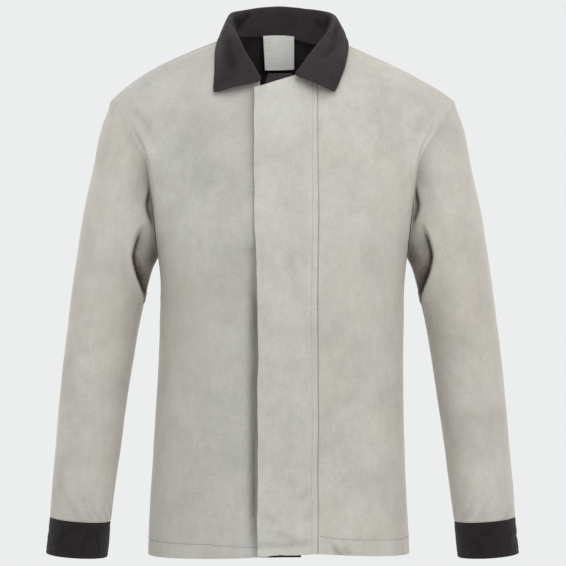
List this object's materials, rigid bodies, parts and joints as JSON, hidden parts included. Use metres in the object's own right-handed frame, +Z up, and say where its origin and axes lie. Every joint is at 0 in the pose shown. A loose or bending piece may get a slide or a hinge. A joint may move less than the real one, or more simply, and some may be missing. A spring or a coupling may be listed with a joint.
{
  "type": "welding jacket",
  "caption": "Worn welding jacket in light grey split leather, with a storm flap and a dark cotton back, collar, cuffs and front strip.",
  "frame": {"origin": "nape: the middle of the back neck seam, where the jacket sits on the wearer", "axes": "+Z up, the front of the jacket faces -Y, +X to the wearer's left"},
  "size_m": [0.6792, 0.2697, 0.8026],
  "materials": {
    "split_leather": "matt suede",
    "dark_cotton": "matt twill",
    "label_tape": "smooth tape"
  },
  "bodies": {
    "root": {"front_right": "split_leather", "front_left": "split_leather", "storm_flap": "split_leather", "sleeve_right": "split_leather", "sleeve_left": "split_leather", "back": "dark_cotton", "collar": "dark_cotton", "cuff_right": "dark_cotton", "cuff_left": "dark_cotton", "front_strip": "dark_cotton", "neck_label": "label_tape"}
  },
  "joints": []
}
